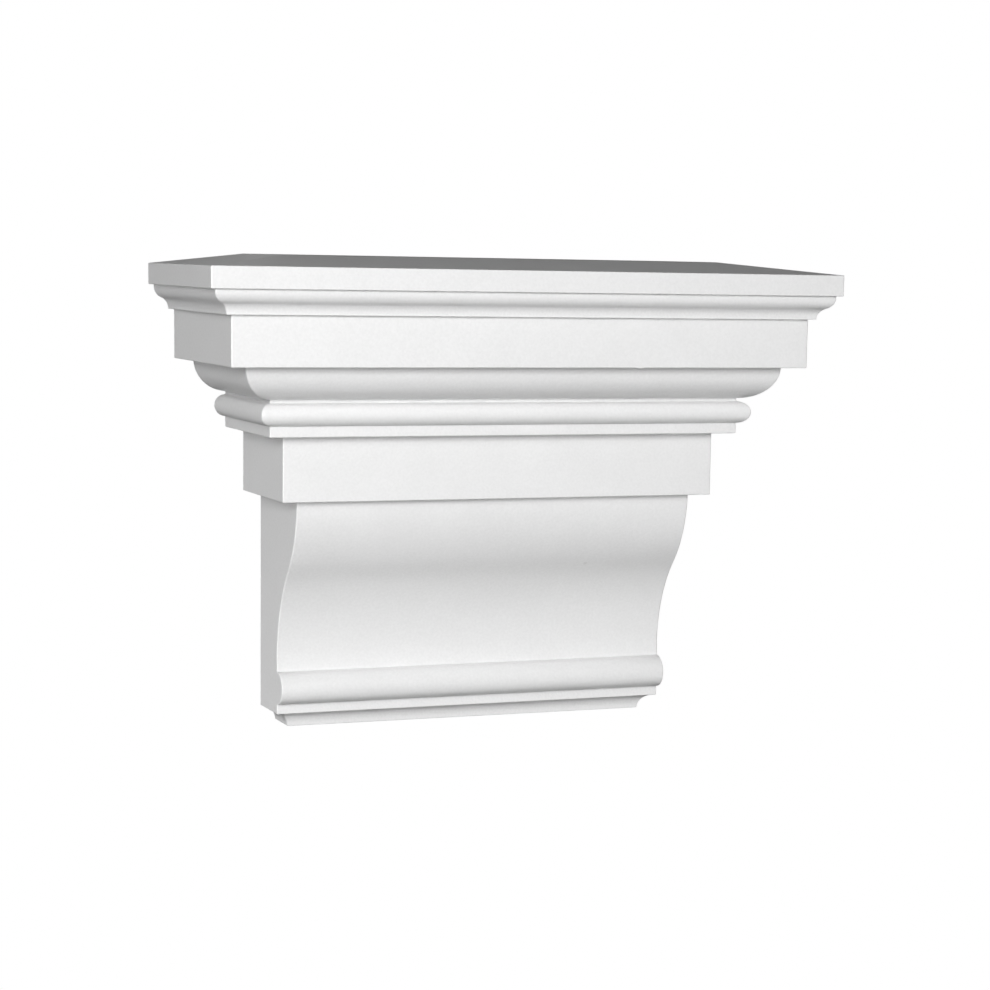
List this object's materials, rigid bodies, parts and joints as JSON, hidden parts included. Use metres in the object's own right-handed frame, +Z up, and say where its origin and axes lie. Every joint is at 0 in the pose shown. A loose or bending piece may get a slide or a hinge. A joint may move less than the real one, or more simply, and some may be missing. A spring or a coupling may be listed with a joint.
{
  "type": "corbel",
  "caption": "Plain classical wall corbel: a wide moulded cap returned round the sides over a flat-sided body whose front sweeps in to a bead and a small cove.",
  "frame": {"origin": "on the flat back that goes against the wall, on the centre line, half way between the top and the foot", "axes": "+X along the wall, to the right seen from the front; +Y into the wall; +Z up"},
  "size_m": [0.4, 0.1462, 0.2922],
  "materials": {
    "primed_foam": "white primer over hard moulded polyurethane foam, smooth and satin-matt"
  },
  "bodies": {
    "root": {"corbel": "primed_foam"}
  },
  "joints": []
}
